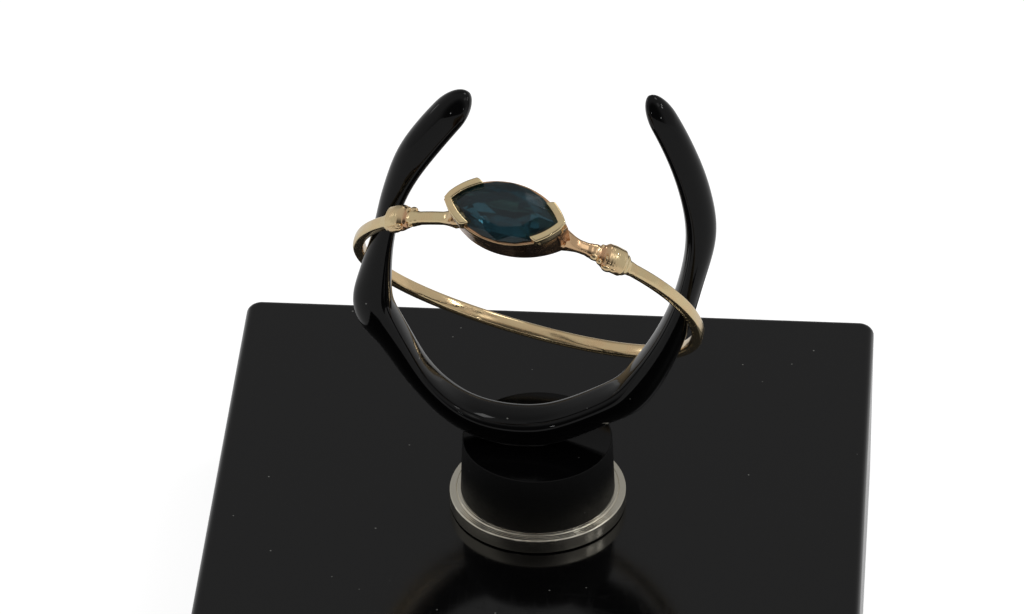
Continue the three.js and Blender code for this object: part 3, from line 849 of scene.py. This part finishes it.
def fine_wear_group():
    """Scratches: noise drawn out along two crossing directions, and kept only where it is close to
    its middle value, which leaves thin lines. Waves: a slow noise. Blotches: a middling one."""
    tree, given, gives = new_group("fine_wear", {"Size": 1500.0}, ["Scratches", "Waves", "Blotches"])
    at = scaled_vector(tree, given.outputs["Vector"], given.outputs["Size"])
    lines = []
    for turn, stretch in scratch_sets:
        mapping = add_node(tree, "ShaderNodeMapping", {"Rotation": turn, "Scale": stretch})
        noise = add_node(tree, "ShaderNodeTexNoise", {"Scale": 1.0, "Detail": 1.0})
        band_pass = add_node(tree, "ShaderNodeMath", {1: 0.5, 2: scratch_width}, operation="COMPARE")
        tree.links.new(at, mapping.inputs["Vector"])
        tree.links.new(mapping.outputs["Vector"], noise.inputs["Vector"])
        tree.links.new(noise.outputs["Fac"], band_pass.inputs[0])
        lines.append(band_pass.outputs[0])
    both = add_node(tree, "ShaderNodeMath", operation="MAXIMUM")
    tree.links.new(lines[0], both.inputs[0])
    tree.links.new(lines[1], both.inputs[1])
    tree.links.new(both.outputs[0], gives.inputs["Scratches"])
    for label, scale, detail in (("Waves", 0.45, 1.0), ("Blotches", 1.1, 4.0)):
        noise = add_node(tree, "ShaderNodeTexNoise", {"Scale": scale, "Detail": detail})
        tree.links.new(at, noise.inputs["Vector"])
        tree.links.new(noise.outputs["Fac"], gives.inputs[label])
    return tree


fine_wear = fine_wear_group()

# %% Dust
# Distances from a cell's point, in cells: a speck is whole up to the first and gone at the second
speck_core, speck_edge = 0.05, 0.16


def dust_group():
    """Specks: round spots about the cell points of a Voronoi pattern, kept only in the few cells
    whose own random value passes a limit, and fewer still where a slow noise is low."""
    tree, given, gives = new_group("dust", {"Size": 2500.0, "Share": 0.1}, ["Specks"])
    at = scaled_vector(tree, given.outputs["Vector"], given.outputs["Size"])
    cells = add_node(tree, "ShaderNodeTexVoronoi", {"Scale": 1.0, "Randomness": 1.0})
    slow = add_node(tree, "ShaderNodeTexNoise", {"Scale": 0.06, "Detail": 2.0})
    random = add_node(tree, "ShaderNodeSeparateColor")
    limit = add_node(tree, "ShaderNodeMath", operation="MULTIPLY")
    chosen = add_node(tree, "ShaderNodeMath", operation="LESS_THAN")
    spot = add_node(tree, "ShaderNodeMapRange", {"From Min": speck_core, "From Max": speck_edge,
                                                 "To Min": 1.0, "To Max": 0.0})
    result = add_node(tree, "ShaderNodeMath", operation="MULTIPLY")
    links = tree.links
    links.new(at, cells.inputs["Vector"])
    links.new(at, slow.inputs["Vector"])
    links.new(cells.outputs["Color"], random.inputs["Color"])
    links.new(given.outputs["Share"], limit.inputs[0])
    links.new(slow.outputs["Fac"], limit.inputs[1])
    links.new(random.outputs["Red"], chosen.inputs[0])
    links.new(limit.outputs[0], chosen.inputs[1])
    links.new(cells.outputs["Distance"], spot.inputs["Value"])
    links.new(spot.outputs["Result"], result.inputs[0])
    links.new(chosen.outputs[0], result.inputs[1])
    links.new(result.outputs[0], gives.inputs["Specks"])
    return tree


dust = dust_group()
print("node groups:", [group.name for group in bpy.data.node_groups])

# %% [markdown]
# ## Finishes
#
# Polished gold is a metal whose colour is its reflection, so nearly all its look comes from what it
# mirrors. Only a little is painted: painted shade, a darker copper colour that stands in for shade and
# for light bounced from gold to gold in the recesses and other shaded places. Wear changes roughness,
# and a slow waviness bends the reflections as hand polishing does.

# %% A principled material to build on
def new_material(name, **values):
    """A node material whose Principled shader has the values given."""
    material = bpy.data.materials.new(name)
    material.use_nodes = True
    tree = material.node_tree
    shader = tree.nodes["Principled BSDF"]
    for key, value in values.items():
        shader.inputs[key.replace("_", " ")].default_value = value
    where = add_node(tree, "ShaderNodeTexCoord").outputs["Object"]
    return material, tree, shader, where


def mix_colour(tree, share, low, high):
    """A colour between two: by the share, which is a socket."""
    made = add_node(tree, "ShaderNodeMix", data_type="RGBA")
    tree.links.new(share, made.inputs["Factor"])
    for label, value in (("A", low), ("B", high)):
        socket = next(s for s in made.inputs if s.name == label and s.type == "RGBA")
        if isinstance(value, bpy.types.NodeSocket):
            tree.links.new(value, socket)
        else:
            socket.default_value = value
    return next(s for s in made.outputs if s.type == "RGBA")


def ranged(tree, source, low, high, from_low=0.0, from_high=1.0):
    """A number carried from one range to another."""
    made = add_node(tree, "ShaderNodeMapRange", {"From Min": from_low, "From Max": from_high,
                                                 "To Min": low, "To Max": high})
    tree.links.new(source, made.inputs["Value"])
    return made.outputs["Result"]


def bumped(tree, shader, height, distance):
    """A bump on the shader's normal, of a height in metres."""
    made = add_node(tree, "ShaderNodeBump", {"Distance": distance, "Strength": 1.0})
    tree.links.new(height, made.inputs["Height"])
    tree.links.new(made.outputs["Normal"], shader.inputs["Normal"])


# %% Yellow gold
def gold_material():
    """Polished gold: blotches of two golds, painted shade as darker copper in the recesses and other
    shaded places, and rougher along scratches.
    """
    material, tree, shader, where = new_material("yellow_gold_polished", Metallic=1.0)
    wear = add_node(tree, "ShaderNodeGroup", {"Size": 1400.0}, node_tree=fine_wear)
    tree.links.new(where, wear.inputs["Vector"])
    painted_shade = add_node(tree, "ShaderNodeAttribute", attribute_name="painted_shade").outputs["Fac"]
    blotched = mix_colour(tree, ranged(tree, wear.outputs["Blotches"], 0, 1, 0.4, 0.7),
                          (0.82, 0.66, 0.38, 1), (0.84, 0.62, 0.35, 1))
    # Painted shade and bounced light: where the mark is high the gold turns a darker copper
    tinted = mix_colour(tree, painted_shade, blotched, (0.66, 0.39, 0.22, 1))
    tree.links.new(tinted, shader.inputs["Base Color"])
    rough = add_node(tree, "ShaderNodeMath", {1: 0.08}, operation="MULTIPLY_ADD")
    tree.links.new(wear.outputs["Scratches"], rough.inputs[0])
    tree.links.new(ranged(tree, wear.outputs["Blotches"], 0.10, 0.22, 0.3, 0.7), rough.inputs[2])
    tree.links.new(rough.outputs[0], shader.inputs["Roughness"])
    bumped(tree, shader, wear.outputs["Waves"], 0.00006)
    return material


yellow_gold = gold_material()
for gold_piece in [band, setting, *prongs, *lumps]:
    place(gold_piece, yellow_gold, "gold_ring")

# %% Sapphire
def sapphire_material():
    """Deep teal glass, a little clouded, whose colour drifts slowly between two depths."""
    material, tree, shader, where = new_material(
        "teal_sapphire", Transmission_Weight=0.8, Roughness=0.08, IOR=1.48)
    noise = add_node(tree, "ShaderNodeTexNoise", {"Scale": 500.0, "Detail": 3.0})
    tree.links.new(where, noise.inputs["Vector"])
    colour = mix_colour(tree, ranged(tree, noise.outputs["Fac"], 0, 1, 0.35, 0.65),
                        (0.013, 0.052, 0.072, 1), (0.030, 0.115, 0.150, 1))
    tree.links.new(colour, shader.inputs["Base Color"])
    return material


place(stone, sapphire_material(), "marquise_stone")

# %% [markdown]
# The stand is black acrylic: nearly all that one sees of it is reflection. Real acrylic on a
# photographer's table never is clean, so it carries specks of dust and hairline scratches that
# show only where they catch the light.

# %% Black acrylic
def acrylic_material(name, smoothest, roughest, gloss, dusty):
    """Black gloss between two roughnesses. A piece that is marked as matt in places is rougher
    there, by as much as the mark says."""
    material, tree, shader, where = new_material(name, IOR=1.49, Specular_IOR_Level=gloss,
                                                 Sheen_Weight=dusty, Sheen_Roughness=0.3)
    wear = add_node(tree, "ShaderNodeGroup", {"Size": 450.0}, node_tree=fine_wear)
    specks = add_node(tree, "ShaderNodeGroup", {"Size": 2600.0, "Share": 0.04}, node_tree=dust)
    for group in (wear, specks):
        tree.links.new(where, group.inputs["Vector"])
    colour = mix_colour(tree, specks.outputs["Specks"], (0.002, 0.002, 0.0022, 1), (0.3, 0.3, 0.28, 1))
    tree.links.new(colour, shader.inputs["Base Color"])
    rough = add_node(tree, "ShaderNodeMath", {1: 0.05}, operation="MULTIPLY_ADD")
    tree.links.new(wear.outputs["Scratches"], rough.inputs[0])
    tree.links.new(ranged(tree, wear.outputs["Blotches"], smoothest, roughest, 0.3, 0.7),
                   rough.inputs[2])
    matt = add_node(tree, "ShaderNodeAttribute", attribute_name="matt").outputs["Fac"]
    both = add_node(tree, "ShaderNodeMath", operation="ADD")
    tree.links.new(rough.outputs[0], both.inputs[0])
    tree.links.new(matt, both.inputs[1])
    tree.links.new(both.outputs[0], shader.inputs["Roughness"])
    return material


place(block, acrylic_material("black_acrylic_block", 0.10, 0.14, 0.45, 0.0), "base_block")
place(post, acrylic_material("black_acrylic_post", 0.06, 0.12, 0.2, 0.0), "holder_post")
place(crescent, acrylic_material("black_acrylic_crescent", 0.03, 0.08, 0.22, 0.05),
      "crescent_holder")

# %% Pale gold plate of the collar
def collar_material():
    """Turning lines: rings about the upright axis, whose height waves with the distance from it.
    Lines too fine to see spread each highlight across them, so the roughness is stretched too."""
    material, tree, shader, where = new_material(
        "pale_gold_plate", Metallic=1.0, Anisotropic=0.5, Anisotropic_Rotation=0.25)
    around = add_node(tree, "ShaderNodeTangent", direction_type="RADIAL", axis="Z")
    tree.links.new(around.outputs["Tangent"], shader.inputs["Tangent"])
    wear = add_node(tree, "ShaderNodeGroup", {"Size": 900.0}, node_tree=fine_wear)
    tree.links.new(where, wear.inputs["Vector"])
    colour = mix_colour(tree, wear.outputs["Blotches"], (0.86, 0.82, 0.71, 1), (0.80, 0.74, 0.60, 1))
    tree.links.new(colour, shader.inputs["Base Color"])
    lines = add_node(tree, "ShaderNodeTexWave", {"Scale": 3500.0, "Distortion": 1.5, "Detail": 1.0},
                     wave_type="RINGS", rings_direction="Z")
    tree.links.new(where, lines.inputs["Vector"])
    bumped(tree, shader, lines.outputs["Fac"], 0.000006)
    tree.links.new(ranged(tree, wear.outputs["Blotches"], 0.17, 0.26, 0.3, 0.7),
                   shader.inputs["Roughness"])
    return material


place(collar, collar_material(), "collar")

# %% [markdown]
# ## Floor, light and camera
#
# The floor is a plain pale sheet. A small studio is all around: a pale dome with a dark part
# behind the stand, so that the black block mirrors darkness and the gold has something dark to
# set its bright parts off. Soft boxes then add the highlights.

# %% Floor
floor_radius, floor_sides = 1500, 96
floor_glow, floor_glow_seen = 0.38, 0.84


def make_floor():
    """A round sheet that glows, and glows more to the camera, so that it shows as plain white."""
    around = np.linspace(0, 2 * np.pi, floor_sides, endpoint=False)
    rim = np.stack([np.cos(around), np.sin(around), 0 * around], axis=-1) * floor_radius * MM
    mesh = bpy.data.meshes.new("floor")
    mesh.from_pydata(rim.tolist(), [], [list(range(floor_sides))])
    material, tree, shader, _ = new_material(
        "pale_floor", Roughness=0.9, Base_Color=(0.5, 0.5, 0.5, 1), Emission_Color=(1, 1, 1, 1))
    seen = add_node(tree, "ShaderNodeLightPath").outputs["Is Camera Ray"]
    tree.links.new(ranged(tree, seen, floor_glow, floor_glow_seen), shader.inputs["Emission Strength"])
    mesh.materials.append(material)
    return add_object("floor", mesh)


make_floor()

# %% Studio dome
horizon, overhead = 0.5, 0.52
# The middle of each shade, how near to it the shade begins, and the share of light left there
shades = [((0.0, 0.85, 0.52), 0.6, 0.55), ((-0.1, -0.97, 0.24), 0.55, 0.12)]
shade_core = 0.93


def make_dome():
    """The dome brightens from the horizon to overhead. Each shade is a soft round patch: how near a
    direction lies to its middle takes away up to its share. The camera sees white past the floor."""
    world = bpy.data.worlds.new("studio")
    bpy.context.scene.world = world
    world.use_nodes = True
    tree = world.node_tree
    facing = add_node(tree, "ShaderNodeTexCoord").outputs["Generated"]
    upward = add_node(tree, "ShaderNodeSeparateXYZ")
    tree.links.new(facing, upward.inputs["Vector"])
    level = ranged(tree, upward.outputs["Z"], horizon, overhead, 0.1, 0.85)
    for middle, near, left_over in shades:
        towards = add_node(tree, "ShaderNodeVectorMath", {1: middle}, operation="DOT_PRODUCT")
        tree.links.new(facing, towards.inputs[0])
        shaded = add_node(tree, "ShaderNodeMapRange", {"From Min": near, "From Max": shade_core,
                                                       "To Min": 1.0, "To Max": left_over},
                          interpolation_type="SMOOTHSTEP")
        tree.links.new(towards.outputs["Value"], shaded.inputs["Value"])
        darker = add_node(tree, "ShaderNodeMath", operation="MULTIPLY")
        tree.links.new(level, darker.inputs[0])
        tree.links.new(shaded.outputs["Result"], darker.inputs[1])
        level = darker.outputs[0]
    seen = add_node(tree, "ShaderNodeLightPath").outputs["Is Camera Ray"]
    strength = add_node(tree, "ShaderNodeMix", {"B": 1.0})
    tree.links.new(seen, strength.inputs["Factor"])
    tree.links.new(level, strength.inputs["A"])
    tree.links.new(strength.outputs["Result"], tree.nodes["Background"].inputs["Strength"])
    tree.nodes["Background"].inputs["Color"].default_value = (1, 1, 1, 1)


make_dome()

# %% Soft boxes
# What the camera and the lights face: a point near the middle of the ring
target = Vector((-1.262, 0, 22.701)) * MM
box_distance = 240


def direction(azimuth, elevation):
    """The unit vector towards a place at those angles. Azimuth 0 is the front, and 90 the right."""
    a, e = np.radians(azimuth), np.radians(elevation)
    return Vector((np.sin(a) * np.cos(e), -np.cos(a) * np.cos(e), np.sin(e)))


def soft_box(name, azimuth, elevation, width, height, radiance):
    """A rectangle of light that faces the ring. Its power is radiance times area times pi."""
    light = bpy.data.lights.new(name, "AREA")
    light.shape = "RECTANGLE"
    light.size, light.size_y = width * MM, height * MM
    light.energy = radiance * np.pi * light.size * light.size_y
    box = add_object(name, light)
    away = direction(azimuth, elevation)
    box.location = target + away * box_distance * MM
    box.rotation_euler = away.to_track_quat("Z", "Y").to_euler()
    box.visible_camera = False


# Azimuth, elevation, width, height and radiance of each
soft_boxes = {
    "right_box": (58, 47, 80, 50, 0.85),
    "knot_spark": (76, 34, 26, 20, 9.0),
    "back_box": (128, 58, 70, 60, 3.5),
    "left_spark": (-112, 14, 14, 40, 3.0),
    "front_left_spark": (-20, 12, 8, 8, 25.0),
    "front_right_spark": (28, 12, 8, 8, 25.0),
    "collar_glint": (92, 36, 16, 16, 18.0),
}
for name, row in soft_boxes.items():
    soft_box(name, *row)
print("soft boxes:", len(soft_boxes))

# %% [markdown]
# The camera stands where the picture was taken from: high in front, a little to the right, and
# far away with a long lens. Its axes follow from azimuth, elevation and a slight roll.

# %% Camera
camera_azimuth, camera_elevation, camera_roll = 4.69, 35.81, np.radians(-0.72)
camera_distance, camera_lens = 338.4, 226.97

lens = bpy.data.cameras.new("camera")
lens.lens, lens.sensor_width = camera_lens, 36.0
lens.clip_start, lens.clip_end = 0.01, 10.0
camera = add_object("camera", lens)
back = direction(camera_azimuth, camera_elevation)
right = direction(camera_azimuth + 90, 0)
up = back.cross(right)
across = right * np.cos(camera_roll) + up * np.sin(camera_roll)
upright = up * np.cos(camera_roll) - right * np.sin(camera_roll)
camera.matrix_world = (Matrix.Translation(target + back * camera_distance * MM)
                       @ Matrix((across, upright, back)).transposed().to_4x4())
bpy.context.scene.camera = camera
bpy.context.scene.view_settings.view_transform = "Standard"
print("camera at", [round(value, 4) for value in camera.location])
